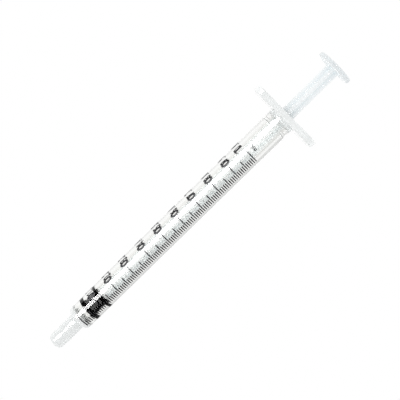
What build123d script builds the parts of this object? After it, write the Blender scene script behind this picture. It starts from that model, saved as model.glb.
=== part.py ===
from build123d import *
import math
import os

# Oral syringe, 1 mL, lying on the flat side of its finger flange.
# Millimetres. +X runs along the syringe from the oral tip to the thumb disc,
# +Z is up, and the printed scale faces up. The origin is on the surface that
# the syringe lies on, under the middle of its length.

# ---- Driving dimensions ----

OVERALL_LENGTH = 96.0          # oral tip to the back of the thumb disc, plunger nearly home
CAPACITY_LENGTH = 57.0         # zero line to full line
CAPACITY_TENTHS = 10           # numbered steps on the scale
STEPS_PER_TENTH = 10           # smallest divisions in a numbered step

BORE_RADIUS = 2.365
NOZZLE_LENGTH = 8.25
NOZZLE_TIP_RADIUS = 1.98
NOZZLE_RADIUS = 2.12
NOZZLE_LAND = 4.6              # straight stretch of the nozzle next to the barrel
NOZZLE_EDGE = 1.0              # rounding of the nozzle's end
CHANNEL_TIP_RADIUS = 0.8
CHANNEL_ROOT_RADIUS = 1.0
BARREL_FRONT_RADIUS = 3.22
BARREL_REAR_RADIUS = 3.53
SHOULDER_EDGE = 0.9            # rounding of the barrel's front corner
ZERO_LINE_INSET = 1.285        # barrel front to the zero line
BORE_END_GAP = 0.05            # bore end to the stopper's edge at zero
FRONT_CONE = 0.3               # height of the shallow cone on the stopper and in the bore end
MOUTH_RADIUS = 2.75            # flared rear mouth of the bore
MOUTH_LENGTH = 0.5
BARREL_LENGTH = 71.435         # barrel front to the back of the flange

BEAD_HEIGHT = 0.115            # ring inside the bore that keeps the stopper in
BEAD_LENGTH = 0.8
BEAD_TO_BACK = 4.7             # front of the bead to the back of the flange

FLANGE_SPAN = 19.6
FLANGE_DEPTH = 10.0
FLANGE_THICKNESS = 1.75
FLANGE_EDGE = 0.35
FLANGE_ROOT = 0.5

STOPPER_RADIUS = 2.335
STOPPER_WAIST_RADIUS = 2.0
FRONT_RIB = 1.35
WAIST_LENGTH = 2.95
REAR_RIB = 1.0
RIB_EDGE = 0.15
REST_READING = 2.25            # stopper's edge to the zero line, at rest

HEAD_RADIUS = 1.35             # rod's head, snapped into the stopper
HEAD_LENGTH = 1.7
HEAD_NOSE_RADIUS = 0.7
NECK_RADIUS = 0.85
NECK_LENGTH = 1.3
SOCKET_CLEARANCE = 0.05
COLLAR_RADIUS = 2.0
COLLAR_LENGTH = 0.9
ROD_SPAN = 3.65                # across opposite ribs of the cross section
ROD_RIB = 1.1
ROD_EDGE = 0.12
DISC_RADIUS = 4.84
DISC_THICKNESS = 1.1
DISC_EDGE = 0.25

INK_FILM = 0.03
LINE_WIDTH = 0.28
LINE_END_ANGLE = 54.0          # all lines end here, measured from +Z towards -Y
LONG_START_ANGLE = -13.0
MEDIUM_START_ANGLE = 4.0
SHORT_START_ANGLE = 23.0
NUMERAL_ANGLES = (35.5, 82.0)  # middles of a numeral's two characters, from +Z towards +Y
POINT_ANGLE = 65.0
NUMERAL_HEIGHT = 2.5
NUMERAL_WIDTH = 1.3
NUMERAL_STROKE = 0.42
POINT_SIZE = 0.36
ONE_OFFSET = 1.2               # the 1.0 stands clear of its line, towards the tip
UNIT_HEIGHT = 1.1
UNIT_STROKE = 0.18
UNIT_GAP = 1.6                 # full line to the middle of the unit mark

# ---- Worked-out places along the syringe ----

axis_z = FLANGE_DEPTH / 2
tip_x = -OVERALL_LENGTH / 2
front_x = tip_x + NOZZLE_LENGTH
zero_x = front_x + ZERO_LINE_INSET
full_x = zero_x + CAPACITY_LENGTH
bore_end_x = zero_x - BORE_END_GAP
back_x = front_x + BARREL_LENGTH
bead_x = back_x - BEAD_TO_BACK
flange_x = back_x - FLANGE_THICKNESS
stopper_x = zero_x + REST_READING
waist_x = stopper_x + FRONT_RIB
rear_rib_x = waist_x + WAIST_LENGTH
stopper_end_x = rear_rib_x + REAR_RIB
disc_back_x = OVERALL_LENGTH / 2
disc_front_x = disc_back_x - DISC_THICKNESS

step_length = CAPACITY_LENGTH / (CAPACITY_TENTHS * STEPS_PER_TENTH)
draft = (BARREL_REAR_RADIUS - BARREL_FRONT_RADIUS) / BARREL_LENGTH

long_axis = Axis((0, 0, axis_z), (1, 0, 0))


def wall_radius(x):
    """Outer radius of the drafted barrel at x."""
    return BARREL_FRONT_RADIUS + draft * (x - front_x)


def meridian(angle):
    """Plane through the long axis, its y direction at angle from +Z towards -Y."""
    a = math.radians(angle)
    return Plane(origin=(0, 0, axis_z), x_dir=(1, 0, 0), z_dir=(0, -math.cos(a), -math.sin(a)))


def print_plane(x, angle):
    """Plane that touches the print at x, at angle from +Z towards +Y, with its up towards the tip."""
    a = math.radians(angle)
    lift = wall_radius(x) - 1
    origin = (x, lift * math.sin(a), axis_z + lift * math.cos(a))
    return Plane(origin=origin, x_dir=(0, math.cos(a), -math.sin(a)), z_dir=(0, math.sin(a), math.cos(a)))


section_plane = meridian(0)

# ---- Barrel: tube, oral nozzle and finger flange in one moulding ----

with BuildPart() as barrel:
    with BuildSketch(section_plane):
        with BuildLine():
            Polyline(
                (tip_x, 0),
                (tip_x, NOZZLE_TIP_RADIUS),
                (front_x - NOZZLE_LAND, NOZZLE_RADIUS),
                (front_x, NOZZLE_RADIUS),
                (front_x, BARREL_FRONT_RADIUS),
                (back_x, BARREL_REAR_RADIUS),
                (back_x, 0),
                close=True,
            )
        make_face()
    revolve(axis=long_axis)
    rims = barrel.edges().filter_by(GeomType.CIRCLE)
    fillet(rims.filter_by_position(Axis.X, tip_x - 0.1, tip_x + 0.1), NOZZLE_EDGE)
    corner = barrel.edges().filter_by(GeomType.CIRCLE)
    corner = corner.filter_by_position(Axis.X, front_x - 0.1, front_x + 0.1)
    fillet(corner.filter_by(lambda e: e.radius > NOZZLE_RADIUS + 0.1), SHOULDER_EDGE)

    with BuildSketch(Plane.YZ.offset(flange_x)):
        with Locations((0, axis_z)):
            Circle(FLANGE_SPAN / 2)
            Rectangle(FLANGE_SPAN, FLANGE_DEPTH, mode=Mode.INTERSECT)
    extrude(amount=FLANGE_THICKNESS)
    root = barrel.edges().filter_by(GeomType.CIRCLE)
    root = root.filter_by_position(Axis.X, flange_x - 0.01, flange_x + 0.01)
    fillet(root.filter_by(lambda e: e.radius < BARREL_REAR_RADIUS), FLANGE_ROOT)
    outline = barrel.edges().filter_by_position(Axis.X, flange_x - 0.01, back_x + 0.01)
    outline = outline.filter_by(lambda e: abs(e.center().Z - axis_z) > BARREL_REAR_RADIUS + 0.6
                                or abs(e.center().Y) > BARREL_REAR_RADIUS + 0.6)
    fillet(outline.filter_by(Axis.X, reverse=True), FLANGE_EDGE)

    with BuildSketch(section_plane):
        with BuildLine():
            Polyline(
                (tip_x, 0),
                (tip_x, CHANNEL_TIP_RADIUS),
                (bore_end_x - FRONT_CONE, CHANNEL_ROOT_RADIUS),
                (bore_end_x, BORE_RADIUS),
                (bead_x, BORE_RADIUS),
                (bead_x + BEAD_LENGTH / 2, BORE_RADIUS - BEAD_HEIGHT),
                (bead_x + BEAD_LENGTH, BORE_RADIUS),
                (back_x - MOUTH_LENGTH, BORE_RADIUS),
                (back_x, MOUTH_RADIUS),
                (back_x, 0),
                close=True,
            )
        make_face()
    revolve(axis=long_axis, mode=Mode.SUBTRACT)
barrel.part.label = "barrel"

# ---- Stopper: rubber, two sealing ribs, a waist and a socket for the rod's head ----

socket_x = stopper_end_x - NECK_LENGTH - HEAD_LENGTH - SOCKET_CLEARANCE
socket_end_x = stopper_end_x - NECK_LENGTH + SOCKET_CLEARANCE

with BuildPart() as stopper:
    with BuildSketch(section_plane):
        with BuildLine():
            Polyline(
                (stopper_x - FRONT_CONE, 0),
                (stopper_x - FRONT_CONE, CHANNEL_ROOT_RADIUS),
                (stopper_x, STOPPER_RADIUS),
                (waist_x, STOPPER_RADIUS),
                (waist_x, STOPPER_WAIST_RADIUS),
                (rear_rib_x, STOPPER_WAIST_RADIUS),
                (rear_rib_x, STOPPER_RADIUS),
                (stopper_end_x, STOPPER_RADIUS),
                (stopper_end_x, 0),
                close=True,
            )
        make_face()
    revolve(axis=long_axis)
    ribs = stopper.edges().filter_by(GeomType.CIRCLE)
    ribs = ribs.filter_by_position(Axis.X, waist_x - 0.1, stopper_end_x + 0.1)
    fillet(ribs.filter_by(lambda e: e.radius > STOPPER_RADIUS - 0.1), RIB_EDGE)

    with BuildSketch(section_plane):
        with BuildLine():
            Polyline(
                (socket_x, 0),
                (socket_x, HEAD_NOSE_RADIUS + SOCKET_CLEARANCE),
                (socket_x + HEAD_LENGTH / 2, HEAD_RADIUS + SOCKET_CLEARANCE),
                (socket_end_x, HEAD_RADIUS + SOCKET_CLEARANCE),
                (socket_end_x, NECK_RADIUS + SOCKET_CLEARANCE),
                (stopper_end_x, NECK_RADIUS + SOCKET_CLEARANCE),
                (stopper_end_x, 0),
                close=True,
            )
        make_face()
    revolve(axis=long_axis, mode=Mode.SUBTRACT)
stopper.part.label = "stopper"

# ---- Plunger rod: snap head, neck, collar, cross-section shaft and thumb disc in one moulding ----

collar_x = stopper_end_x + SOCKET_CLEARANCE
shaft_x = collar_x + COLLAR_LENGTH
head_back_x = stopper_end_x - NECK_LENGTH
head_x = head_back_x - HEAD_LENGTH

with BuildPart() as plunger_rod:
    with BuildSketch(Plane.YZ.offset(shaft_x)):
        with Locations((0, axis_z)):
            Circle(ROD_SPAN / 2)
            Rectangle(ROD_SPAN, ROD_RIB, mode=Mode.INTERSECT)
            with BuildSketch(mode=Mode.PRIVATE) as upright:
                Circle(ROD_SPAN / 2)
                Rectangle(ROD_RIB, ROD_SPAN, mode=Mode.INTERSECT)
            add(upright.sketch)
    extrude(amount=disc_front_x - shaft_x)
    fillet(plunger_rod.edges().filter_by(Axis.X), ROD_EDGE)

    with BuildSketch(section_plane):
        with BuildLine():
            Polyline(
                (head_x, 0),
                (head_x, HEAD_NOSE_RADIUS),
                (head_x + HEAD_LENGTH / 2, HEAD_RADIUS),
                (head_back_x, HEAD_RADIUS),
                (head_back_x, NECK_RADIUS),
                (collar_x, NECK_RADIUS),
                (collar_x, COLLAR_RADIUS),
                (shaft_x, COLLAR_RADIUS),
                (shaft_x, 0),
                close=True,
            )
        make_face()
    revolve(axis=long_axis)

    with BuildSketch(Plane.YZ.offset(disc_front_x)):
        with Locations((0, axis_z)):
            Circle(DISC_RADIUS)
    extrude(amount=DISC_THICKNESS)
    rims = plunger_rod.edges().filter_by(GeomType.CIRCLE)
    fillet(rims.filter_by(lambda e: e.radius > DISC_RADIUS - 0.1), DISC_EDGE)
plunger_rod.part.label = "plunger_rod"

# ---- Printed scale: a thin film of ink on the barrel ----


def line_start(step):
    """Where a line starts round the barrel: long on tenths, medium on their halves, else short."""
    if step % STEPS_PER_TENTH == 0:
        return LONG_START_ANGLE
    if step % (STEPS_PER_TENTH // 2) == 0:
        return MEDIUM_START_ANGLE
    return SHORT_START_ANGLE


with BuildPart() as graduation_lines:
    for step in range(CAPACITY_TENTHS * STEPS_PER_TENTH + 1):
        start = line_start(step)
        near_x = zero_x + step * step_length - LINE_WIDTH / 2
        far_x = near_x + LINE_WIDTH
        with BuildSketch(meridian(start)):
            with BuildLine():
                Polyline(
                    (near_x, wall_radius(near_x)),
                    (far_x, wall_radius(far_x)),
                    (far_x, wall_radius(far_x) + INK_FILM),
                    (near_x, wall_radius(near_x) + INK_FILM),
                    close=True,
                )
            make_face()
        revolve(axis=long_axis, revolution_arc=LINE_END_ANGLE - start)
graduation_lines.part.label = "graduation_lines"

# Each character is drawn with up to seven straight strokes: top, upper right, lower right, bottom,
# lower left, upper left and middle, as the letters a to g.
NUMERAL_STROKES = {
    "0": "abcdef", "1": "bc", "2": "abged", "3": "abgcd", "4": "fgbc",
    "5": "afgcd", "6": "afgedc", "7": "abc", "8": "abcdefg", "9": "abcdfg",
}
reach_x = (NUMERAL_WIDTH - NUMERAL_STROKE) / 2
reach_y = (NUMERAL_HEIGHT - NUMERAL_STROKE) / 2
STROKE_CENTRES = {
    "a": (0, reach_y), "g": (0, 0), "d": (0, -reach_y),
    "b": (reach_x, reach_y / 2), "c": (reach_x, -reach_y / 2),
    "f": (-reach_x, reach_y / 2), "e": (-reach_x, -reach_y / 2),
}


def ink_shell(start_x, end_x):
    """Profile of a ring of ink film between two places along the barrel, as corner points."""
    return [
        (start_x, wall_radius(start_x)),
        (end_x, wall_radius(end_x)),
        (end_x, wall_radius(end_x) + INK_FILM),
        (start_x, wall_radius(start_x) + INK_FILM),
    ]


with BuildPart() as scale_numerals:
    for tenth in range(1, CAPACITY_TENTHS + 1):
        is_full = tenth == CAPACITY_TENTHS
        centre_x = zero_x + tenth * STEPS_PER_TENTH * step_length
        if is_full:
            centre_x -= ONE_OFFSET
        characters = "10" if is_full else f"0{tenth}"
        for character, angle in zip(characters, NUMERAL_ANGLES):
            with BuildSketch(print_plane(centre_x, angle)):
                for stroke in NUMERAL_STROKES[character]:
                    with Locations(STROKE_CENTRES[stroke]):
                        if stroke in "agd":
                            Rectangle(NUMERAL_WIDTH, NUMERAL_STROKE)
                        else:
                            Rectangle(NUMERAL_STROKE, reach_y + NUMERAL_STROKE)
            extrude(amount=2)
        with BuildSketch(print_plane(centre_x, POINT_ANGLE)):
            with Locations((0, (POINT_SIZE - NUMERAL_HEIGHT) / 2)):
                Rectangle(POINT_SIZE, POINT_SIZE)
        extrude(amount=2)
    with BuildSketch(section_plane):
        with BuildLine():
            Polyline(*ink_shell(zero_x, full_x + NUMERAL_HEIGHT), close=True)
        make_face()
    revolve(axis=long_axis, mode=Mode.INTERSECT)
scale_numerals.part.label = "scale_numerals"

unit_x = full_x + UNIT_GAP

with BuildPart() as unit_mark:
    with BuildSketch(print_plane(unit_x, 0)):
        for leg in (-1, 0, 1):
            with Locations((leg * UNIT_HEIGHT / 3 - UNIT_HEIGHT / 2, -UNIT_HEIGHT / 8)):
                Rectangle(UNIT_STROKE, 0.75 * UNIT_HEIGHT)
        with Locations((-UNIT_HEIGHT / 2, UNIT_HEIGHT / 4 - UNIT_STROKE / 2)):
            Rectangle(2 * UNIT_HEIGHT / 3, UNIT_STROKE)
        with Locations((UNIT_HEIGHT / 3, 0)):
            Rectangle(UNIT_STROKE, UNIT_HEIGHT)
        with Locations((UNIT_HEIGHT / 3 + UNIT_HEIGHT / 4, (UNIT_STROKE - UNIT_HEIGHT) / 2)):
            Rectangle(UNIT_HEIGHT / 2, UNIT_STROKE)
    extrude(amount=2)
    with BuildSketch(section_plane):
        with BuildLine():
            Polyline(*ink_shell(unit_x - UNIT_HEIGHT, unit_x + UNIT_HEIGHT), close=True)
        make_face()
    revolve(axis=long_axis, mode=Mode.INTERSECT)
unit_mark.part.label = "unit_mark"

# ---- Files ----

os.makedirs("parts", exist_ok=True)
for piece in (barrel, stopper, plunger_rod, graduation_lines, scale_numerals, unit_mark):
    export_step(piece.part, f"parts/{piece.part.label}.step")
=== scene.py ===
"""Oral syringe, 1 mL: the visible pieces, their finishes and the studio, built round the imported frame.

The syringe lies along +X from its oral tip to its thumb disc, on the flat of its finger flange.
Everything is in metres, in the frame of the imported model.
"""

from __future__ import annotations

import itertools
import logging
import math
from dataclasses import dataclass, field
from enum import Enum
from typing import Any, Callable, Iterable, Sequence

import bmesh
import bpy
import numpy as np
from mathutils import Matrix, Vector


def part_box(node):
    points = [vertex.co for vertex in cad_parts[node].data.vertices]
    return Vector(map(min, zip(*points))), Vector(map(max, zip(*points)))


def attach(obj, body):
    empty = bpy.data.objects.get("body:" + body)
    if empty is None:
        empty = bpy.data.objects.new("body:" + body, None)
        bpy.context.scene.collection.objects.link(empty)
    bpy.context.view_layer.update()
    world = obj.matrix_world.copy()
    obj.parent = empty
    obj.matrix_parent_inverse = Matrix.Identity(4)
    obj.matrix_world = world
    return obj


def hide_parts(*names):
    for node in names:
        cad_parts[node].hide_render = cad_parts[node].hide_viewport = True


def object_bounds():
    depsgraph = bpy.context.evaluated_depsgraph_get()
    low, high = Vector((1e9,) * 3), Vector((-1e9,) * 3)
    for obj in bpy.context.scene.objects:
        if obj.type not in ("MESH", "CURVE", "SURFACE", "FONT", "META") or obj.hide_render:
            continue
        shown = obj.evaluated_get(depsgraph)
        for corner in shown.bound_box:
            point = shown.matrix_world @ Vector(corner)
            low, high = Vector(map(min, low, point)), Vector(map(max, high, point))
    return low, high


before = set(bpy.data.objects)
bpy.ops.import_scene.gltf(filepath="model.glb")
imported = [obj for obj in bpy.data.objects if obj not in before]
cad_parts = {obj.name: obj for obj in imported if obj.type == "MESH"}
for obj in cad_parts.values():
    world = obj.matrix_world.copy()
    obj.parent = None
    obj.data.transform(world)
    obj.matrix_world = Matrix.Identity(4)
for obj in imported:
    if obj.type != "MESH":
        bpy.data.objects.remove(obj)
cad_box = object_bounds()

MM = 0.001
Point = tuple[float, float]
Colour = tuple[float, float, float]
log = logging.getLogger("oral_syringe")


# ---------------------------------------------------------------- node trees


class Value:
    """A node's output socket, with arithmetic that adds Math nodes to its tree."""

    def __init__(self, nodes: "Nodes", socket: bpy.types.NodeSocket) -> None:
        """Wraps one socket.

        Args:
            nodes: The tree that the socket belongs to.
            socket: The output socket.
        """
        self.nodes = nodes
        self.socket = socket

    def math(self, operation: str, *others: "Value | float", swapped: bool = False) -> "Value":
        """Adds a Math node.

        Args:
            operation: The Math node's operation.
            others: Its further inputs.
            swapped: True if this value comes second.

        Returns:
            The node's result.
        """
        inputs: list[Value | float] = [self, *others]
        if swapped:
            inputs.reverse()
        node = self.nodes.add("ShaderNodeMath", {"operation": operation}, dict(enumerate(inputs)))
        return Value(self.nodes, node.outputs[0])

    def __add__(self, other: "Value | float") -> "Value":
        """Sum."""
        return self.math("ADD", other)

    __radd__ = __add__

    def __sub__(self, other: "Value | float") -> "Value":
        """Difference."""
        return self.math("SUBTRACT", other)

    def __rsub__(self, other: float) -> "Value":
        """Difference from a number."""
        return self.math("SUBTRACT", other, swapped=True)

    def __mul__(self, other: "Value | float") -> "Value":
        """Product."""
        return self.math("MULTIPLY", other)

    __rmul__ = __mul__

    def __mod__(self, other: float) -> "Value":
        """Remainder."""
        return self.math("FLOORED_MODULO", other)

    def __lt__(self, other: "Value | float") -> "Value":
        """1 where this is less, else 0."""
        return self.math("LESS_THAN", other)

    def __gt__(self, other: "Value | float") -> "Value":
        """1 where this is more, else 0."""
        return self.math("GREATER_THAN", other)


class Nodes:
    """A shader or geometry node tree and the one way that nodes are added to it."""

    def __init__(self, tree: bpy.types.NodeTree) -> None:
        """Wraps a tree.

        Args:
            tree: The tree, which is emptied.
        """
        self.tree = tree
        self.tree.nodes.clear()

    def add(
        self,
        kind: str,
        settings: dict[str, Any] | None = None,
        values: dict[str | int, Any] | None = None,
    ) -> bpy.types.Node:
        """Adds a node, with its settings first and then its sockets.

        Args:
            kind: The node's type.
            settings: The node's own properties. A ramp's stops are (position, colour) pairs.
            values: Values or links for its input sockets, by name or number.

        Returns:
            The node.
        """
        node = self.tree.nodes.new(kind)
        for key, value in (settings or {}).items():
            if key == "stops":
                ramp = node.color_ramp.elements
                while len(ramp) < len(value):
                    ramp.new(1.0)
                for element, (position, colour) in zip(ramp, value):
                    element.position = position
                    element.color = (*colour, 1.0)
            else:
                setattr(node, key, value)
        for key, value in (values or {}).items():
            if isinstance(value, Value):
                value = value.socket
            if isinstance(value, bpy.types.NodeSocket):
                self.tree.links.new(value, node.inputs[key])
            else:
                node.inputs[key].default_value = value
        return node

    def value(self, kind: str, output: str | int = 0, **parts: Any) -> Value:
        """Adds a node and wraps one of its outputs.

        Args:
            kind: The node's type.
            output: The output's name or number.
            parts: The settings and values for add().

        Returns:
            The wrapped output.
        """
        return Value(self, self.add(kind, **parts).outputs[output])

    def principled(self, values: dict[str | int, Any]) -> bpy.types.NodeSocket:
        """Adds a Principled shader and gives its output."""
        return self.add("ShaderNodeBsdfPrincipled", values=values).outputs[0]

    def end(self, shader: bpy.types.NodeSocket) -> None:
        """Ends a material's tree in its shader."""
        self.add("ShaderNodeOutputMaterial", values={"Surface": shader})


def new_material(name: str) -> tuple[bpy.types.Material, Nodes]:
    """Makes an empty material.

    Args:
        name: The material's name.

    Returns:
        The material and its tree.
    """
    material = bpy.data.materials.new(name)
    material.use_nodes = True
    return material, Nodes(material.node_tree)


# ---------------------------------------------------------------- finishes


def object_noise(nodes: Nodes, stretch: Sequence[float], detail: float = 3.0) -> Value:
    """Noise in the piece's own coordinates.

    Args:
        nodes: The material's tree.
        stretch: Cycles per metre along each axis.
        detail: The noise's octaves.

    Returns:
        The noise's height, from 0 to 1.
    """
    place = nodes.add("ShaderNodeTexCoord").outputs["Object"]
    scaled = nodes.add("ShaderNodeMapping", values={"Vector": place, "Scale": tuple(stretch)})
    noise = {"Vector": scaled.outputs[0], "Scale": 1.0, "Detail": detail}
    return nodes.value("ShaderNodeTexNoise", "Fac", values=noise)


def varied(noise: Value, middle: float, spread: float) -> Value:
    """A number that follows a noise, spread evenly round its middle."""
    return noise * spread + (middle - spread / 2)


def two_tone(nodes: Nodes, noise: Value, blend: Point, tones: Sequence[Colour]) -> bpy.types.NodeSocket:
    """Colour that goes from one tone to another with a noise.

    Args:
        nodes: The material's tree.
        noise: The noise.
        blend: The noise's heights where the change begins and ends.
        tones: The two tones.

    Returns:
        The colour's socket.
    """
    ramp = {"stops": tuple(zip(blend, tones))}
    return nodes.add("ShaderNodeValToRGB", ramp, {"Fac": noise}).outputs[0]


@dataclass(frozen=True)
class ClearPlastic:
    """Clear moulded plastic, glossy, milky where it is thick."""

    name: str = "clear_plastic"
    tint: Colour = (0.968, 0.97, 0.956)
    milk: Colour = (0.9, 0.925, 0.92)
    ior: float = 1.49
    roughness: float = 0.035
    roughness_spread: float = 0.04
    flow: Sequence[float] = (60.0, 900.0, 900.0)
    flow_height: float = 0.0006 * MM
    tube_haze: float = 0.0
    nozzle_haze: float = 0.94
    rear_haze: float = 0.05
    flange_haze: float = 0.94
    milk_weight: float = 0.5
    milk_depth: float = 1.2 * MM

    def haze(self, nodes: Nodes, places: Sequence[float], bore_x: float, bore: Point) -> Value:
        """How milky the plastic looks along the barrel. The bore's wall stays clear.

        Args:
            nodes: The material's tree.
            places: Where the nozzle's haze ends, the clear tube begins and ends, the rear is milky,
                and the flange's haze begins.
            bore_x: A place between the barrel's front and the bore's end.
            bore: Height of the bore's axis, and a radius just outside the bore.

        Returns:
            The milky share, from 0 to 1.
        """
        shares = (self.nozzle_haze, self.tube_haze, self.tube_haze, self.rear_haze, self.flange_haze)
        low, high = places[0], places[-1]
        stops = [((x - low) / (high - low), (share,) * 3) for x, share in zip(places, shares)]
        place = nodes.add("ShaderNodeTexCoord").outputs["Object"]
        parts = nodes.add("ShaderNodeSeparateXYZ", values={0: place})
        x, y, z = (Value(nodes, parts.outputs[i]) for i in range(3))
        along = nodes.value("ShaderNodeMapRange", values={"Value": x, "From Min": low, "From Max": high})
        share = nodes.value("ShaderNodeValToRGB", settings={"stops": stops}, values={"Fac": along})
        height = z - bore[0]
        near_axis = (y * y + height * height).math("SQRT") < bore[1]
        return share * (1.0 - near_axis * (x > bore_x))

    def material(self, places: Sequence[float], bore_x: float, bore: Point) -> bpy.types.Material:
        """Builds the material.

        Args:
            places: The places along the barrel for haze().
            bore_x: A place between the barrel's front and the bore's end.
            bore: Height of the bore's axis, and a radius just outside the bore.

        Returns:
            The material.
        """
        material, nodes = new_material(self.name)
        flow = object_noise(nodes, self.flow)
        bump = nodes.add("ShaderNodeBump", values={"Height": flow, "Distance": self.flow_height})
        clear = {
            "Base Color": (*self.tint, 1.0),
            "Roughness": 0.0,
            "IOR": self.ior,
            "Transmission Weight": 1.0,
            "Normal": bump.outputs[0],
        }
        milky = {
            "Base Color": (*self.milk, 1.0),
            "Roughness": varied(flow, self.roughness, self.roughness_spread),
            "IOR": self.ior,
            "Subsurface Weight": self.milk_weight,
            "Subsurface Radius": (1.0, 1.0, 1.0),
            "Subsurface Scale": self.milk_depth,
            "Normal": bump.outputs[0],
        }
        shares = {
            0: self.haze(nodes, places, bore_x, bore),
            1: nodes.principled(clear),
            2: nodes.principled(milky),
        }
        nodes.end(nodes.add("ShaderNodeMixShader", values=shares).outputs[0])
        return material


@dataclass(frozen=True)
class WhitePlastic:
    """Cool white moulded plastic, satin, that lets a little light into it."""

    name: str = "white_plastic"
    base: Colour = (0.84, 0.88, 0.895)
    shade: Colour = (0.815, 0.855, 0.875)
    blend: Point = (0.3, 0.7)
    # Painted shade: from the thumb disc on, the colour is scaled down to this share, for the lesser light
    # on the disc's faces.
    disc_painted_shade: float = 0.78
    ior: float = 1.5
    specular: float = 0.02
    roughness: float = 0.5
    roughness_spread: float = 0.12
    depth: float = 2.5 * MM
    cloud: Sequence[float] = (90.0, 160.0, 160.0)
    cloud_detail: float = 2.0
    grain: Sequence[float] = (500.0, 2500.0, 2500.0)
    grain_height: float = 0.004 * MM

    def material(self, disc_x: float) -> bpy.types.Material:
        """Builds the material.

        Args:
            disc_x: Where the thumb disc begins; from there the colour is darkened, a painted shade for
                the lesser light on the disc's faces.

        Returns:
            The material.
        """
        material, nodes = new_material(self.name)
        grain = object_noise(nodes, self.grain)
        cloud = object_noise(nodes, self.cloud, self.cloud_detail)
        colour = two_tone(nodes, cloud, self.blend, (self.shade, self.base))
        place = nodes.add("ShaderNodeTexCoord").outputs["Object"]
        x = nodes.value("ShaderNodeSeparateXYZ", values={0: place})
        # Painted shade: the thumb disc's colour is scaled down here, standing in for the lesser light on
        # its faces.
        share = 1.0 - (x > disc_x) * (1.0 - self.disc_painted_shade)
        disc_shaded = {0: colour, "Scale": share}
        tone = nodes.add("ShaderNodeVectorMath", {"operation": "SCALE"}, disc_shaded)
        bump = nodes.add("ShaderNodeBump", values={"Height": grain, "Distance": self.grain_height})
        surface = {
            "Base Color": tone.outputs[0],
            "Roughness": varied(grain, self.roughness, self.roughness_spread),
            "IOR": self.ior,
            "Specular IOR Level": self.specular,
            "Subsurface Weight": 1.0,
            "Subsurface Radius": (1.0, 1.0, 1.0),
            "Subsurface Scale": self.depth,
            "Normal": bump.outputs[0],
        }
        nodes.end(nodes.principled(surface))
        return material


@dataclass(frozen=True)
class BlackRubber:
    """Smooth black rubber with a thin film of silicone oil."""

    name: str = "black_rubber"
    base: Colour = (0.0012, 0.0012, 0.0012)
    bloom: Colour = (0.003, 0.003, 0.003)
    blend: Point = (0.35, 0.75)
    ior: float = 1.5
    specular: float = 0.02
    roughness: float = 0.5
    roughness_spread: float = 0.2
    mottle: Sequence[float] = (700.0, 700.0, 700.0)
    mottle_height: float = 0.01 * MM

    def material(self) -> bpy.types.Material:
        """Builds the material.

        Returns:
            The material.
        """
        material, nodes = new_material(self.name)
        mottle = object_noise(nodes, self.mottle)
        bump = nodes.add("ShaderNodeBump", values={"Height": mottle, "Distance": self.mottle_height})
        surface = {
            "Base Color": two_tone(nodes, mottle, self.blend, (self.base, self.bloom)),
            "Roughness": varied(mottle, self.roughness, self.roughness_spread),
            "IOR": self.ior,
            "Specular IOR Level": self.specular,
            "Normal": bump.outputs[0],
        }
        nodes.end(nodes.principled(surface))
        return material


@dataclass(frozen=True)
class PrintInk:
    """Screen-printed ink, near black, a little thin in places."""

    name: str = "black_ink"
    base: Colour = (0.004, 0.004, 0.005)
    thin: Colour = (0.015, 0.015, 0.017)
    blend: Point = (0.4, 0.8)
    ior: float = 1.45
    roughness: float = 0.45
    roughness_spread: float = 0.2
    patches: Sequence[float] = (2600.0, 2600.0, 2600.0)

    def material(self) -> bpy.types.Material:
        """Builds the material.

        Returns:
            The material.
        """
        material, nodes = new_material(self.name)
        patches = object_noise(nodes, self.patches)
        surface = {
            "Base Color": two_tone(nodes, patches, self.blend, (self.base, self.thin)),
            "Roughness": varied(patches, self.roughness, self.roughness_spread),
            "IOR": self.ior,
        }
        nodes.end(nodes.principled(surface))
        return material


# ---------------------------------------------------------------- round mouldings

Outline = Callable[[float], float]
MERGE_DISTANCE = 0.0002 * MM
LONG_RUN = 8  # a wall longer than this many holds gets the extra rings of Moulding.profile


def arc(centre: Point, radius: float, start: float, end: float, steps: int = 6) -> list[Point]:
    """Points on a circular arc of a profile.

    Args:
        centre: The arc's centre, as a place along the syringe and a distance from its axis.
        radius: The arc's radius.
        start: The first point's direction in degrees, from +X towards outwards.
        end: The last point's direction.
        steps: The number of chords.

    Returns:
        The points, both ends included.
    """
    angles = [math.radians(start + (end - start) * i / steps) for i in range(steps + 1)]
    return [(centre[0] + radius * math.cos(a), centre[1] + radius * math.sin(a)) for a in angles]


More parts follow.
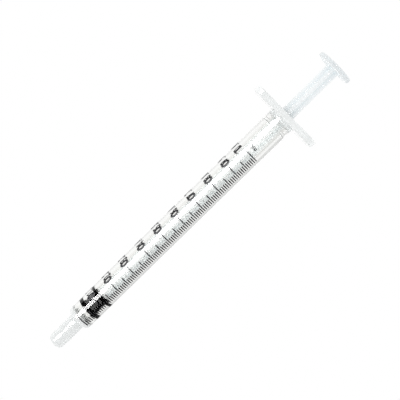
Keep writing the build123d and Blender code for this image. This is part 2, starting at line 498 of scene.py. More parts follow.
class Moulding:
    """A closed skin round the long axis, laid up from rings of points.

    Each ring has a place along the syringe and a distance from the axis in every direction, so a
    ring can be a circle or any outline that is seen whole from the axis.
    """

    def __init__(self, name: str, axis_z: float, directions: Sequence[float]) -> None:
        """Starts an empty skin.

        Args:
            name: The piece's name.
            axis_z: Height of the long axis.
            directions: The rings' directions in radians, from +Y towards +Z.
        """
        self.name = name
        self.axis_z = axis_z
        self.directions = directions
        self.rings: list[list[tuple[float, float, float]]] = []

    def ring(self, x: float, reach: float | Outline) -> None:
        """Adds a ring.

        Args:
            x: Its place along the syringe.
            reach: Its radius, or the distance from the axis as a function of direction.
        """
        points = []
        for a in self.directions:
            r = reach(a) if callable(reach) else reach
            points.append((x, r * math.cos(a), self.axis_z + r * math.sin(a)))
        self.rings.append(points)

    def profile(self, points: Iterable[Point], hold: float = 0.03 * MM) -> None:
        """Adds round rings along a profile, with rings close to each corner to keep long walls true.

        Args:
            points: Places along the syringe and radii.
            hold: How far from a corner the extra rings lie.
        """
        last: Point | None = None
        for point in points:
            if last is not None:
                run = math.dist(last, point)
                if run > LONG_RUN * hold:
                    for share in (hold / run, 1 - hold / run):
                        self.ring(*(a + (b - a) * share for a, b in zip(last, point)))
            self.ring(*point)
            last = point

    def build(self, looped: bool, smooth_below: float = 40.0) -> bpy.types.Object:
        """Makes the object.

        Args:
            looped: True if the last ring joins the first, as on a tube; else both ends close on the axis.
            smooth_below: Edges that turn by less than this many degrees are shaded smooth.

        Returns:
            The object, linked to the scene.
        """
        count = len(self.directions)
        points = [p for ring in self.rings for p in ring]
        faces: list[tuple[int, ...]] = []
        last = len(self.rings) - 1
        for i in range(last + 1 if looped else last):
            here, there = i * count, (i + 1) % (last + 1) * count
            for j in range(count):
                k = (j + 1) % count
                faces.append((here + j, here + k, there + k, there + j))
        if not looped:
            for base in (0, last * count):
                pole = len(points)
                points.append((points[base][0], 0.0, self.axis_z))
                for j in range(count):
                    faces.append((base + j, base + (j + 1) % count, pole))
        mesh = bpy.data.meshes.new(self.name)
        mesh.from_pydata(points, [], faces)
        return finished(mesh, self.name, smooth_below)


def finished(mesh: bpy.types.Mesh, name: str, smooth_below: float) -> bpy.types.Object:
    """Merges a mesh's doubles, turns its faces outwards and makes its object.

    Args:
        mesh: The mesh.
        name: The object's name.
        smooth_below: Edges that turn by less than this many degrees are shaded smooth.

    Returns:
        The object, linked to the scene.
    """
    work = bmesh.new()
    work.from_mesh(mesh)
    bmesh.ops.remove_doubles(work, verts=work.verts, dist=MERGE_DISTANCE)
    bmesh.ops.recalc_face_normals(work, faces=work.faces)
    work.to_mesh(mesh)
    work.free()
    mesh.shade_smooth()
    mesh.set_sharp_from_angle(angle=math.radians(smooth_below))
    piece = bpy.data.objects.new(name, mesh)
    bpy.context.scene.collection.objects.link(piece)
    return piece


def even_directions(count: int) -> list[float]:
    """Directions evenly round the axis, from +Y."""
    return [2 * math.pi * i / count for i in range(count)]


# ---------------------------------------------------------------- barrel


@dataclass
class Barrel:
    """The barrel: tube, oral nozzle and finger flange in one moulding."""

    finish: ClearPlastic = field(default_factory=ClearPlastic)
    nozzle_length: float = 8.25 * MM
    nozzle_tip_radius: float = 1.98 * MM
    nozzle_radius: float = 2.12 * MM
    nozzle_land: float = 4.6 * MM
    nozzle_edge: float = 1.0 * MM
    nozzle_root: float = 0.25 * MM
    channel_tip_radius: float = 0.8 * MM
    channel_root_radius: float = 1.0 * MM
    channel_lead: float = 0.1 * MM
    front_radius: float = 3.22 * MM
    rear_radius: float = 3.53 * MM
    shoulder_edge: float = 0.9 * MM
    bore_radius: float = 2.365 * MM
    bore_end_inset: float = 1.235 * MM
    bore_end_edge: float = 0.15 * MM
    front_cone: float = 0.3 * MM
    bead_height: float = 0.115 * MM
    bead_length: float = 0.8 * MM
    bead_to_back: float = 4.7 * MM
    mouth_radius: float = 2.75 * MM
    mouth_length: float = 0.5 * MM
    mouth_lead: float = 0.08 * MM
    flange_thickness: float = 1.75 * MM
    flange_edge: float = 0.4 * MM
    flange_root: float = 0.5 * MM
    corner_softness: int = 110
    face_shares: tuple[float, ...] = (0.02, 0.2, 0.5, 0.8, 0.985)
    rim_steps: int = 8
    sides: int = 192
    nozzle_haze_inset: float = 0.1 * MM
    clear_inset: float = 0.7 * MM
    clear_end_inset: float = 58.5 * MM
    rear_haze_gap: float = 1.3 * MM
    flange_haze_gap: float = 0.7 * MM
    bore_margin: float = 0.25 * MM

    def __post_init__(self) -> None:
        """Reads the barrel's place from the frame."""
        low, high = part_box("barrel")
        self.axis_z: float = (low.z + high.z) / 2
        self.tip_x: float = low.x
        self.back_x: float = high.x
        self.span_radius: float = (high.y - low.y) / 2
        self.flat_reach: float = (high.z - low.z) / 2
        self.front_x: float = self.tip_x + self.nozzle_length
        self.flange_x: float = self.back_x - self.flange_thickness
        self.bore_end_x: float = self.front_x + self.bore_end_inset

    @property
    def draft(self) -> float:
        """How much the outer radius grows per metre towards the flange."""
        return (self.rear_radius - self.front_radius) / (self.back_x - self.front_x)

    def wall_radius(self, x: float) -> float:
        """The tube's outer radius at x."""
        return self.front_radius + self.draft * (x - self.front_x)

    def outline(self, inset: float) -> Outline:
        """The flange's outline: a circle with two flats and softened corners.

        Args:
            inset: How far inside the true outline.

        Returns:
            Distance from the axis as a function of direction.
        """
        p = self.corner_softness

        def reach(a: float) -> float:
            """Distance from the axis to the outline in one direction."""
            flat = abs(math.sin(a)) / (self.flat_reach - inset)
            return (flat**p + (1 / (self.span_radius - inset)) ** p) ** (-1 / p)

        return reach

    def outside(self, skin: Moulding) -> None:
        """Lays up the nozzle, shoulder and tube from the tip to the flange.

        Args:
            skin: The barrel's skin.
        """
        edge, root, shoulder = self.nozzle_edge, self.nozzle_root, self.shoulder_edge
        taper = (self.nozzle_radius - self.nozzle_tip_radius) / (self.nozzle_length - self.nozzle_land)
        end_radius = self.nozzle_tip_radius + taper * edge
        points = [(self.tip_x, self.channel_tip_radius + self.channel_lead)]
        points += arc((self.tip_x + edge, end_radius - edge), edge, 180, 90, 10)
        points += [(self.front_x - self.nozzle_land, self.nozzle_radius)]
        points += arc((self.front_x - root, self.nozzle_radius + root), root, 270, 360)
        corner = self.wall_radius(self.front_x + shoulder)
        points += arc((self.front_x + shoulder, corner - shoulder), shoulder, 180, 90, 12)
        fillet = self.flange_root
        wall = self.wall_radius(self.flange_x - fillet)
        points += arc((self.flange_x - fillet, wall + fillet), fillet, 270, 360, 8)
        skin.profile(points)

    def flange(self, skin: Moulding) -> None:
        """Lays up the finger flange, front face, rounded rim and back face.

        Args:
            skin: The barrel's skin.
        """
        edge = self.flange_edge
        inner = self.wall_radius(self.flange_x) + self.flange_root
        rim = self.outline(edge)
        for share in (*self.face_shares, 1.0):
            skin.ring(self.flange_x, lambda a: inner + (rim(a) - inner) * share)
        for corner_x, first in ((self.flange_x + edge, 180), (self.back_x - edge, 90)):
            for i in range(self.rim_steps + 1):
                turn = math.radians(first - 90 * i / self.rim_steps)
                inset = edge - edge * math.sin(turn)
                skin.ring(corner_x + edge * math.cos(turn), self.outline(inset))
        mouth = self.mouth_radius + self.mouth_lead
        for share in (*reversed(self.face_shares), 0.0):
            skin.ring(self.back_x, lambda a: mouth + (rim(a) - mouth) * share)

    def bore(self, skin: Moulding) -> None:
        """Lays up the mouth, the bore with its retention ring, the bore's end and the channel.

        Args:
            skin: The barrel's skin.
        """
        bead_x = self.back_x - self.bead_to_back + self.bead_length / 2
        half, height = self.bead_length / 2, self.bead_height
        sphere = (half**2 + height**2) / (2 * height)
        spread = math.degrees(math.asin(half / sphere))
        crest = (bead_x, self.bore_radius - height + sphere)
        points = [(self.back_x - self.mouth_lead, self.mouth_radius)]
        points += [(self.back_x - self.mouth_length, self.bore_radius)]
        points += arc(crest, sphere, 270 + spread, 270 - spread, 10)
        edge = self.bore_end_edge
        points += arc((self.bore_end_x + edge, self.bore_radius - edge), edge, 90, 165, 5)
        points += [(self.bore_end_x - self.front_cone, self.channel_root_radius)]
        points += [(self.tip_x + self.channel_lead, self.channel_tip_radius)]
        skin.profile(points)

    def build(self) -> bpy.types.Object:
        """Makes and dresses the barrel.

        Returns:
            The piece.
        """
        skin = Moulding("barrel_moulding", self.axis_z, even_directions(self.sides))
        self.outside(skin)
        self.flange(skin)
        self.bore(skin)
        piece = skin.build(looped=True)
        places = [self.bore_end_x + inset for inset in (self.nozzle_haze_inset, self.clear_inset)]
        places += [self.bore_end_x + self.clear_end_inset]
        places += [self.flange_x - gap for gap in (self.rear_haze_gap, self.flange_haze_gap)]
        bore = (self.axis_z, self.bore_radius + self.bore_margin)
        piece.data.materials.append(self.finish.material(places, self.front_x + self.bore_margin, bore))
        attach(piece, "barrel")
        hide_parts("barrel")
        return piece


# ---------------------------------------------------------------- printed scale

# Bold digits that the type's thickened outlines would spoil: the 4's triangle would close, and the
# 1's flag would sink into its stem. Each loop lists its corners as shares of the type size.
DRAWN_DIGITS: dict[str, tuple[tuple[Point, ...], ...]] = {
    "1": (((0.6, 0.0), (1.0, 0.0), (1.0, 1.0), (0.7, 1.0), (0.0, 0.86), (0.0, 0.72), (0.6, 0.8)),),
    "4": (
        ((0.28, 0.0), (0.46, 0.0), (0.46, 0.14), (0.55, 0.14), (0.55, 0.3), (0.46, 0.3), (0.46, 0.78))
        + ((0.25, 0.78), (0.0, 0.32), (0.0, 0.14), (0.28, 0.14)),
        ((0.28, 0.3), (0.14, 0.3), (0.28, 0.56)),
    ),
}


@dataclass
class PrintedScale:
    """The ink on the barrel: graduation lines, numerals and the unit."""

    barrel: Barrel
    finish: PrintInk = field(default_factory=PrintInk)
    tenths: int = 10
    steps_per_tenth: int = 10
    line_width: float = 0.28 * MM
    film: float = 0.03 * MM
    bed: float = 0.008 * MM
    line_points: int = 13
    line_end: float = 54.0
    long_start: float = -13.0
    medium_start: float = 4.0
    short_start: float = 23.0
    numeral_angles: tuple[float, float] = (35.5, 82.0)
    point_angle: float = 65.0
    point_size: float = 0.36 * MM
    numeral_height: float = 2.5 * MM
    numeral_width: float = 1.4 * MM
    one_width: float = 1.0 * MM
    numeral_weight: float = 0.045
    one_offset: float = 1.2 * MM
    unit_height: float = 1.1 * MM
    unit_gap: float = 1.6 * MM
    unit_weight: float = 0.02
    cut_spacing: float = 0.2 * MM
    smooth_below: float = 20.0

    def __post_init__(self) -> None:
        """Reads the scale's place from the frame."""
        low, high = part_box("graduation_lines")
        self.zero_x: float = low.x + self.line_width / 2
        self.full_x: float = high.x - self.line_width / 2
        self.material: bpy.types.Material = self.finish.material()

    def line_tree(self) -> bpy.types.NodeTree:
        """Builds the tree that prints the lines round the barrel.

        Returns:
            The tree, with named inputs for its sizes.
        """
        tree = bpy.data.node_groups.new("graduation_lines", "GeometryNodeTree")
        nodes = Nodes(tree)
        sizes = {
            "Zero": self.zero_x,
            "Step": (self.full_x - self.zero_x) / (self.tenths * self.steps_per_tenth),
            "Line Width": self.line_width,
            "Film": self.film,
            "Bed": self.bed,
            "Front": self.barrel.front_x,
            "Front Radius": self.barrel.front_radius,
            "Draft": self.barrel.draft,
            "Axis Height": self.barrel.axis_z,
            "Line End": math.radians(self.line_end),
            "Long Start": math.radians(self.long_start),
            "Medium Start": math.radians(self.medium_start),
            "Short Start": math.radians(self.short_start),
        }
        for name, size in sizes.items():
            tree.interface.new_socket(name, socket_type="NodeSocketFloat").default_value = size
        count = tree.interface.new_socket("Lines", socket_type="NodeSocketInt")
        count.default_value = self.tenths * self.steps_per_tenth + 1
        tree.interface.new_socket("Ink", socket_type="NodeSocketMaterial")
        tree.interface.new_socket("Geometry", in_out="OUTPUT", socket_type="NodeSocketGeometry")

        given = nodes.add("NodeGroupInput")
        size = {name: Value(nodes, given.outputs[name]) for name in sizes}
        begin = nodes.add("ShaderNodeCombineXYZ", values={"X": size["Zero"]})
        offset = nodes.add("ShaderNodeCombineXYZ", values={"X": size["Step"]})
        row_values = {
            "Count": given.outputs["Lines"],
            "Start Location": begin.outputs[0],
            "Offset": offset.outputs[0],
        }
        row = nodes.add("GeometryNodeMeshLine", {"mode": "OFFSET"}, row_values)
        index = nodes.add("GeometryNodeInputIndex")
        store = {"Geometry": row.outputs[0], "Name": "step", "Value": index.outputs[0]}
        numbered = nodes.add("GeometryNodeStoreNamedAttribute", {"data_type": "INT"}, store)
        bar_size = nodes.add("ShaderNodeCombineXYZ", values={"X": size["Line Width"], "Y": 1.0, "Z": 1.0})
        bar_values = {"Size": bar_size.outputs[0], "Vertices X": 2, "Vertices Z": 2}
        bar_values["Vertices Y"] = self.line_points
        bar = nodes.add("GeometryNodeMeshCube", values=bar_values)
        spread = {"Points": numbered.outputs[0], "Instance": bar.outputs[0]}
        bars = nodes.add("GeometryNodeInstanceOnPoints", values=spread)
        real = nodes.add("GeometryNodeRealizeInstances", values={"Geometry": bars.outputs[0]})

        named = nodes.add("GeometryNodeInputNamedAttribute", {"data_type": "INT"}, {"Name": "step"})
        step = Value(nodes, named.outputs[0])
        is_tenth = (step % self.steps_per_tenth) < 0.5
        is_half = (step % (self.steps_per_tenth / 2)) < 0.5
        start = size["Short Start"] + (size["Medium Start"] - size["Short Start"]) * is_half
        start = start + (size["Long Start"] - size["Medium Start"]) * is_tenth
        here = nodes.add("GeometryNodeInputPosition")
        parts = nodes.add("ShaderNodeSeparateXYZ", values={0: here.outputs[0]})
        x, across, through = (Value(nodes, parts.outputs[i]) for i in range(3))
        turn = size["Line End"] - (size["Line End"] - start) * (across + 0.5)
        wall = size["Front Radius"] + size["Draft"] * (x - size["Front"])
        radius = wall - size["Bed"] + (size["Film"] + size["Bed"]) * (through + 0.5)
        place_values = {
            "X": x,
            "Y": radius * turn.math("SINE") * -1.0,
            "Z": radius * turn.math("COSINE") + size["Axis Height"],
        }
        place = nodes.add("ShaderNodeCombineXYZ", values=place_values)
        wrap = {"Geometry": real.outputs[0], "Position": place.outputs[0]}
        wrapped = nodes.add("GeometryNodeSetPosition", values=wrap)
        ink = {"Geometry": wrapped.outputs[0], "Material": given.outputs["Ink"]}
        inked = nodes.add("GeometryNodeSetMaterial", values=ink)
        nodes.add("NodeGroupOutput", values={"Geometry": inked.outputs[0]})
        return tree

    def build_lines(self) -> bpy.types.Object:
        """Prints the graduation lines.

        Returns:
            The lines as one plain mesh.
        """
        tree = self.line_tree()
        carrier = bpy.data.objects.new("line_carrier", bpy.data.meshes.new("line_carrier"))
        bpy.context.scene.collection.objects.link(carrier)
        modifier = carrier.modifiers.new("print", "NODES")
        modifier.node_group = tree
        for item in tree.interface.items_tree:
            if item.in_out == "INPUT":
                chosen = self.material if item.name == "Ink" else item.default_value
                modifier[item.identifier] = chosen
        graph = bpy.context.evaluated_depsgraph_get()
        mesh = bpy.data.meshes.new_from_object(carrier.evaluated_get(graph))
        carrier.modifiers.remove(modifier)
        bpy.data.objects.remove(carrier)
        return finished(mesh, "printed_lines", self.smooth_below)

    def drawn_digit(self, digit: str) -> bpy.types.Curve:
        """Draws one of the digits that aren't set in type.

        Args:
            digit: The digit.

        Returns:
            Its flat, filled outline.
        """
        curve = bpy.data.curves.new(digit, "CURVE")
        curve.dimensions = "2D"
        curve.fill_mode = "BOTH"
        for corners in DRAWN_DIGITS[digit]:
            loop = curve.splines.new("POLY")
            loop.points.add(len(corners) - 1)
            loop.use_cyclic_u = True
            for point, (across, up) in zip(loop.points, corners):
                point.co = (across, up, 0.0, 1.0)
        return curve

    def glyph(self, text: str, height: float, width: float | None, weight: float) -> bpy.types.Mesh:
        """Sets a short text as a thin flat solid, fitted to its printed size.

        Args:
            text: The characters.
            height: The text's height.
            width: The text's width, or None to keep the letters' own proportion.
            weight: How much the strokes are thickened, as a share of the type size.

        Returns:
            The mesh, centred, reading along +X with its up along +Y, from 0 to 1 through its film.
        """
        if text in DRAWN_DIGITS:
            curve = self.drawn_digit(text)
        else:
            curve = bpy.data.curves.new(text, "FONT")
            curve.body = text
            curve.offset = weight
            curve.resolution_u = 4
        curve.extrude = 0.5
        holder = bpy.data.objects.new(text, curve)
        bpy.context.scene.collection.objects.link(holder)
        graph = bpy.context.evaluated_depsgraph_get()
        mesh = bpy.data.meshes.new_from_object(holder.evaluated_get(graph))
        bpy.data.objects.remove(holder)
        points = np.array([v.co for v in mesh.vertices])
        low, high = points.min(0), points.max(0)
        tall = height / (high[1] - low[1])
        wide = tall if width is None else width / (high[0] - low[0])
        middle = (low + high) / 2
        fit = Matrix.Diagonal((wide, tall, 1.0, 1.0))
        centre = Matrix.Translation((-middle[0], -middle[1], 0.5 - middle[2]))
        mesh.transform(fit @ centre)
        return mesh

    def wrap(self, mesh: bpy.types.Mesh, x: float, angle: float) -> None:
        """Lays a flat text on the barrel, its up towards the tip.

        Args:
            mesh: The text, as glyph() gives it.
            x: Its middle, along the syringe.
            angle: Its middle, in degrees from +Z towards +Y.
        """
        work = bmesh.new()
        work.from_mesh(mesh)
        reach = max(abs(v.co.x) for v in work.verts)
        cut = -reach
        while cut < reach:
            everything = work.verts[:] + work.edges[:] + work.faces[:]
            bmesh.ops.bisect_plane(work, geom=everything, plane_co=(cut, 0, 0), plane_no=(1, 0, 0))
            cut += self.cut_spacing
        for v in work.verts:
            across, up, through = v.co
            place_x = x - up
            wall = self.barrel.wall_radius(place_x)
            radius = wall - self.bed + (self.film + self.bed) * through
            turn = math.radians(angle) + across / wall
            v.co = (place_x, radius * math.sin(turn), self.barrel.axis_z + radius * math.cos(turn))
        work.to_mesh(mesh)
        work.free()

    def joined(self, meshes: Sequence[bpy.types.Mesh], name: str) -> bpy.types.Object:
        """Joins printed characters into one piece.

        Args:
            meshes: The characters, in place.
            name: The piece's name.

        Returns:
            The piece.
        """
        work = bmesh.new()
        for mesh in meshes:
            work.from_mesh(mesh)
        whole = bpy.data.meshes.new(name)
        work.to_mesh(whole)
        work.free()
        whole.materials.clear()
        piece = finished(whole, name, self.smooth_below)
        piece.data.materials.append(self.material)
        return piece

    def build_numerals(self) -> bpy.types.Object:
        """Prints the numerals beside the long lines.

        Returns:
            The numerals and their points as one piece.
        """
        meshes = []
        tenth_length = (self.full_x - self.zero_x) / self.tenths
        for tenth in range(1, self.tenths + 1):
            is_full = tenth == self.tenths
            x = self.zero_x + tenth * tenth_length - (self.one_offset if is_full else 0.0)
            for character, angle in zip("10" if is_full else f"0{tenth}", self.numeral_angles):
                width = self.one_width if character == "1" else self.numeral_width
                mesh = self.glyph(character, self.numeral_height, width, self.numeral_weight)
                self.wrap(mesh, x, angle)
                meshes.append(mesh)
            point = self.glyph(".", self.point_size, self.point_size, 0.0)
            self.wrap(point, x + (self.numeral_height - self.point_size) / 2, self.point_angle)
            meshes.append(point)
        return self.joined(meshes, "printed_numerals")

    def build_unit(self) -> bpy.types.Object:
        """Prints the unit past the full line.

        Returns:
            The unit.
        """
        mesh = self.glyph("mL", self.unit_height, None, self.unit_weight)
        self.wrap(mesh, self.full_x + self.unit_gap, 0.0)
        return self.joined([mesh], "printed_unit")

    def build(self) -> list[bpy.types.Object]:
        """Makes and dresses the printed pieces.

        Returns:
            The lines, the numerals and the unit.
        """
        lines, numerals, unit = self.build_lines(), self.build_numerals(), self.build_unit()
        nodes = ("graduation_lines", "scale_numerals", "unit_mark")
        for piece, node in zip((lines, numerals, unit), nodes):
            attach(piece, "barrel")
            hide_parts(node)
        return [lines, numerals, unit]


# ---------------------------------------------------------------- stopper


@dataclass
class Stopper:
    """The rubber stopper: two sealing ribs, a waist, and the socket for the rod's head."""

    barrel: Barrel
    finish: BlackRubber = field(default_factory=BlackRubber)
    squeeze: float = 0.012 * MM
    waist_radius: float = 2.0 * MM
    front_rib: float = 1.35 * MM
    waist_length: float = 2.95 * MM
    front_cone: float = 0.3 * MM
    nose_radius: float = 1.0 * MM
    rib_edge: float = 0.16 * MM
    waist_root: float = 0.22 * MM
    neck_radius: float = 0.9 * MM
    neck_length: float = 1.25 * MM
    socket_radius: float = 1.4 * MM
    socket_nose_radius: float = 0.75 * MM
    socket_length: float = 1.8 * MM
    socket_lead: float = 0.1 * MM
    pole_radius: float = 0.2 * MM
    sides: int = 128

    def build(self) -> bpy.types.Object:
        """Makes and dresses the stopper.

        The ribs reach a hair into the bore's wall, as squeezed rubber wets it.

        Returns:
            The piece.
        """
        low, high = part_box("stopper")
        rib = self.barrel.bore_radius + self.squeeze
        face_x = low.x + self.front_cone
        waist_x = face_x + self.front_rib
        rear_x = waist_x + self.waist_length
        edge, root, waist = self.rib_edge, self.waist_root, self.waist_radius
        socket_x = high.x - self.neck_length
        points = [(low.x, self.pole_radius), (low.x, self.nose_radius)]
        points += arc((face_x + edge, rib - edge), edge, 170, 90)
        points += arc((waist_x - edge, rib - edge), edge, 90, 0)
        points += arc((waist_x + root, waist + root), root, 180, 270)
        points += arc((rear_x - root, waist + root), root, 270, 360)
        points += arc((rear_x + edge, rib - edge), edge, 180, 90)
        points += arc((high.x - edge, rib - edge), edge, 90, 0)
        points += [
            (high.x, self.neck_radius + self.socket_lead),
            (high.x - self.socket_lead, self.neck_radius),
            (socket_x, self.neck_radius),
            (socket_x, self.socket_radius),
            (socket_x - self.socket_length / 2, self.socket_radius),
            (socket_x - self.socket_length, self.socket_nose_radius),
            (socket_x - self.socket_length, self.pole_radius),
        ]
        skin = Moulding("rubber_stopper", self.barrel.axis_z, even_directions(self.sides))
        skin.profile(points)
        piece = skin.build(looped=False)
        piece.data.materials.append(self.finish.material())
        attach(piece, "stopper")
        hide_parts("stopper")
        return piece


# ---------------------------------------------------------------- plunger rod


@dataclass
class PlungerRod:
    """The rod: snap head, neck, collar, a shaft of crossed ribs and the thumb disc."""

    barrel: Barrel
    finish: WhitePlastic = field(default_factory=WhitePlastic)
    head_radius: float = 1.35 * MM
    head_length: float = 1.7 * MM
    nose_radius: float = 0.7 * MM
    neck_radius: float = 0.85 * MM
    neck_length: float = 1.35 * MM
    collar_radius: float = 2.0 * MM
    collar_length: float = 0.9 * MM
    span: float = 3.65 * MM
    rib: float = 1.1 * MM
    rib_edge: float = 0.12 * MM
    rib_root: float = 0.2 * MM
    disc_thickness: float = 1.1 * MM
    disc_edge: float = 0.28 * MM
    disc_root: float = 0.45 * MM
    gate_mark_radius: float = 1.0 * MM
    gate_floor_radius: float = 0.8 * MM
    gate_mark_depth: float = 0.12 * MM
    small_edge: float = 0.1 * MM
    pole_radius: float = 0.1 * MM
    shaft_gap: float = 0.03 * MM
    root_gap: float = 0.05 * MM
    disc_gap: float = 0.02 * MM
    smooth_below: float = 50.0

    def section(self) -> list[Point]:
        """One quarter of the shaft's section, from the middle of the +Y rib's end round to +Z.

        Returns:
            Points across the section, the last one left to the next quarter.
        """
        reach, half = self.span / 2, self.rib / 2
        edge, root = self.rib_edge, self.rib_root
        end = math.sqrt((reach - edge) ** 2 - (half - edge) ** 2)
        lean = math.degrees(math.atan2(half - edge, end))
        crown = [lean * i / 5 for i in range(5)]
        quarter = [(reach * math.cos(math.radians(a)), reach * math.sin(math.radians(a))) for a in crown]
        quarter += arc((end, half - edge), edge, lean, 90)
        inner = half + root
        quarter += [(end + (inner - end) * i / 8, half) for i in range(1, 8)]
        quarter += arc((inner, inner), root, 270, 225, 4)[:-1]
        mirrored = [(z, y) for y, z in reversed(quarter[1:])]
        corner = inner - root * math.sqrt(0.5)
        return quarter + [(corner, corner)] + mirrored

    def build(self) -> bpy.types.Object:
        """Makes and dresses the rod.

        Returns:
            The piece.
        """
        quarter = self.section()
        ring = [complex(*p) * 1j**turn for turn in range(4) for p in quarter]
        directions = [math.atan2(p.imag, p.real) % (2 * math.pi) for p in ring]
        reach = {a: abs(p) for a, p in zip(directions, ring)}
        skin = Moulding("plunger_rod_moulding", self.barrel.axis_z, directions)

        low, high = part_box("plunger_rod")
        back_head_x = low.x + self.head_length
        collar_x = back_head_x + self.neck_length
        shaft_x = collar_x + self.collar_length
        disc_radius = (high.z - low.z) / 2
        disc_x = high.x - self.disc_thickness
        small = self.small_edge
        points = [(low.x, self.pole_radius), (low.x, self.nose_radius - small)]
        points += [(low.x + small, self.nose_radius), (low.x + self.head_length / 2, self.head_radius)]
        points += [(back_head_x, self.head_radius), (back_head_x, self.neck_radius)]
        points += [(collar_x, self.neck_radius), (collar_x, self.collar_radius - small)]
        points += [(collar_x + small, self.collar_radius), (shaft_x - small, self.collar_radius)]
        points += [(shaft_x, self.collar_radius - small)]
        skin.profile(points)

        root = self.disc_root
        for x in (shaft_x, shaft_x + self.shaft_gap, disc_x - root - self.root_gap):
            skin.ring(x, lambda a: reach[a])
        for x, grow in arc((disc_x - root, root), root, 270, 360, 8):
            skin.ring(x, lambda a: min(reach[a] + grow, disc_radius - self.disc_edge))
        edge = self.disc_edge
        points = [(disc_x, disc_radius - edge - self.disc_gap)]
        points += arc((disc_x + edge, disc_radius - edge), edge, 180, 90, 8)
        points += arc((high.x - edge, disc_radius - edge), edge, 90, 0, 8)
        floor_x = high.x - self.gate_mark_depth
        points += [(high.x, self.gate_mark_radius)]
        points += [(floor_x, self.gate_floor_radius), (floor_x, self.pole_radius)]
        skin.profile(points)
        piece = skin.build(looped=False, smooth_below=self.smooth_below)
        piece.data.materials.append(self.finish.material(disc_x))
        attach(piece, "plunger")
        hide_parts("plunger_rod")
        return piece


# ---------------------------------------------------------------- studio


class Rays(Enum):
    """The one kind of ray that sees a piece of the studio's light."""

    MATT = "matt"
    GLOSS = "gloss"
    THROUGH = "through"


def glowing(name: str, radiance: float) -> bpy.types.Material:
    """Makes an evenly glowing pale surface.

    Args:
        name: The material's name.
        radiance: How brightly it glows.

    Returns:
        The material.
    """
    material, nodes = new_material(name)
    glow = {"Color": (1.0, 1.0, 1.0, 1.0), "Strength": radiance}
    nodes.end(nodes.add("ShaderNodeEmission", values=glow).outputs[0])
    return material


def stage_piece(mesh: bpy.types.Mesh, radiance: float, rays: Rays | None = None) -> bpy.types.Object:
    """Makes a glowing piece of the studio.

    Args:
        mesh: Its mesh, whose name it takes.
        radiance: How brightly it glows.
        rays: The only rays that see it, or None if it is plainly there.

    Returns:
        The object, linked to the scene.
    """
    mesh.materials.append(glowing(mesh.name, radiance))
    piece = bpy.data.objects.new(mesh.name, mesh)
    bpy.context.scene.collection.objects.link(piece)
    if rays is not None:
        piece.visible_camera = piece.visible_shadow = False
        piece.visible_diffuse = rays is Rays.MATT
        piece.visible_glossy = rays is Rays.GLOSS
        piece.visible_transmission = rays is Rays.THROUGH
    return piece


@dataclass(frozen=True)
class SoftBox:
    """A rectangular glowing card that faces the syringe's middle and is seen in its gloss."""

    name: str
    lean: float
    distance: float
    size: tuple[float, float]
    radiance: float

    def build(self, target: Vector) -> None:
        """Hangs the card.

        Args:
            target: The point that it faces.
        """
        half_long, half_wide = self.size[0] / 2, self.size[1] / 2
        mesh = bpy.data.meshes.new(self.name)
        corners = [(x * half_long, y * half_wide, 0.0) for x, y in ((-1, -1), (-1, 1), (1, 1), (1, -1))]
        mesh.from_pydata(corners, [], [(0, 1, 2, 3)])
        card = stage_piece(mesh, self.radiance, Rays.GLOSS)
        mesh.materials[0].cycles.emission_sampling = "NONE"
        lean = math.radians(self.lean)
        away = Vector((0.0, math.sin(lean), math.cos(lean)))
        turn = Matrix.Rotation(-lean, 4, "X")
        card.matrix_world = Matrix.Translation(target + away * self.distance) @ turn


@dataclass(frozen=True)
class FloorCard:
    """A greyer card lying on the floor, that only darkens what one kind of ray sees there."""

    name: str
    radiance: float
    along: Point
    across: Point
    lift: float
    rays: Rays

    def build(self) -> None:
        """Lays the card."""
        (low, high), (near, far), lift = self.along, self.across, self.lift
        mesh = bpy.data.meshes.new(self.name)
        corners = [(low, near, lift), (high, near, lift), (high, far, lift), (low, far, lift)]
        mesh.from_pydata(corners, [], [(0, 1, 2, 3)])
        stage_piece(mesh, self.radiance, self.rays)


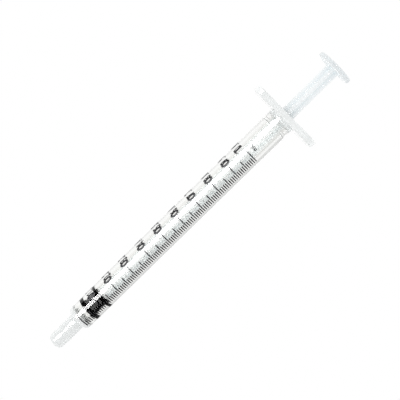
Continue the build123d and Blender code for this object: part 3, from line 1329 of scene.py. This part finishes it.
@dataclass
class Studio:
    """The pale floor and backdrop, the soft light and the camera."""

    barrel: Barrel
    room_radius: float = 1.5
    room_sides: int = 64
    room_levels: int = 16
    floor_glow: float = 1.0
    matt_glow: float = 1.05
    through_glow: float = 2.06
    dim_share: float = 0.86
    room_glow: float = 0.02
    camera_distance: float = 260.0 * MM
    camera_lean: float = 3.8
    axis_rise: float = 44.5
    view_width: float = 96.83 * MM
    aim_from_middle: float = 2.215 * MM
    sensor: float = 36.0
    nearest: float = 10.0 * MM
    boxes: tuple[SoftBox, ...] = (SoftBox("strip_box", 25.5, 0.5, (0.9, 0.33), 20.0),)
    cards: tuple[FloorCard, ...] = (
        FloorCard("gloss_shade", 0.3, (-50 * MM, 27 * MM), (-120 * MM, -6 * MM), 0.2 * MM, Rays.GLOSS),
        FloorCard("lower_edge", 0.78, (-38 * MM, 29 * MM), (-6 * MM, 0.0), 0.1 * MM, Rays.THROUGH),
        FloorCard("upper_edge", 0.88, (-38 * MM, 29 * MM), (0.0, 4 * MM), 0.1 * MM, Rays.THROUGH),
    )

    def build_floor(self) -> None:
        """Lays the round pale floor and sets the pale backdrop round it."""
        count, levels = self.room_sides, self.room_levels
        rings = []
        for i in range(levels + 1):
            rise = math.pi / 2 * i / levels
            reach, height = self.room_radius * math.cos(rise), self.room_radius * math.sin(rise)
            turns = (2 * math.pi * j / count for j in range(count))
            rings.append([(reach * math.cos(a), reach * math.sin(a), height) for a in turns])
        floor = bpy.data.meshes.new("floor")
        floor.from_pydata(rings[0], [], [tuple(range(count))])
        stage_piece(floor, self.floor_glow)
        domes = (
            ("matt_dome", self.matt_glow, Rays.MATT),
            ("through_dome", self.through_glow, Rays.THROUGH),
        )
        sides = (("bright", 1.0, 0), ("dim", self.dim_share, count // 2))
        for (dome, glow, rays), (side, share, first) in itertools.product(domes, sides):
            wall = bpy.data.meshes.new(f"{dome}_{side}")
            panels = []
            for i in range(levels):
                for j in range(first, first + count // 2):
                    k = (j + 1) % count
                    below, above = i * count, (i + 1) * count
                    panels.append((below + j, above + j, above + k, below + k))
            wall.from_pydata([p for ring in rings for p in ring], [], panels)
            stage_piece(wall, glow * share, rays)

    def build_light(self, target: Vector) -> None:
        """Lights the scene with the room's faint light, the soft boxes and the floor's cards.

        Args:
            target: The point that the boxes face.
        """
        world = bpy.data.worlds.new("studio")
        world.use_nodes = True
        nodes = Nodes(world.node_tree)
        room = {"Color": (1.0, 1.0, 1.0, 1.0), "Strength": self.room_glow}
        background = nodes.add("ShaderNodeBackground", values=room)
        nodes.add("ShaderNodeOutputWorld", values={"Surface": background.outputs[0]})
        bpy.context.scene.world = world
        for box in self.boxes:
            box.build(target)
        for card in self.cards:
            card.build()

    def build_camera(self) -> None:
        """Hangs the camera over the syringe, leaning towards the thumb disc."""
        lean, rise = math.radians(self.camera_lean), math.radians(self.axis_rise)
        middle = (cad_box[0].x + cad_box[1].x) / 2
        aim = Vector((middle + self.aim_from_middle, 0.0, self.barrel.axis_z))
        back = Vector((math.sin(lean), 0.0, math.cos(lean)))
        along = Vector((math.cos(lean), 0.0, -math.sin(lean)))
        across = Vector((0.0, -1.0, 0.0))
        right = along * math.cos(rise) + across * math.sin(rise)
        up = along * math.sin(rise) - across * math.cos(rise)
        lens = bpy.data.cameras.new("camera")
        lens.sensor_width = self.sensor
        lens.lens = self.sensor * self.camera_distance / self.view_width
        lens.clip_start = self.nearest
        camera = bpy.data.objects.new("camera", lens)
        bpy.context.scene.collection.objects.link(camera)
        turn = Matrix((right, up, back)).transposed().to_4x4()
        camera.matrix_world = Matrix.Translation(aim + back * self.camera_distance) @ turn
        bpy.context.scene.camera = camera

    def build(self) -> None:
        """Sets up the whole studio."""
        bpy.context.scene.view_settings.view_transform = "Standard"
        self.build_floor()
        self.build_light(Vector((0.0, 0.0, self.barrel.axis_z)))
        self.build_camera()


# ---------------------------------------------------------------- the syringe


def main() -> None:
    """Builds the syringe and its studio in order."""
    logging.basicConfig(level=logging.INFO, format="%(name)s: %(message)s")
    barrel = Barrel()
    Studio(barrel).build()
    log.info("studio ready")
    made = [barrel.build()]
    made += PrintedScale(barrel).build()
    made.append(Stopper(barrel).build())
    made.append(PlungerRod(barrel).build())
    for piece in made:
        log.info("%s: %d faces", piece.name, len(piece.data.polygons))


if __name__ == "__main__":
    main()
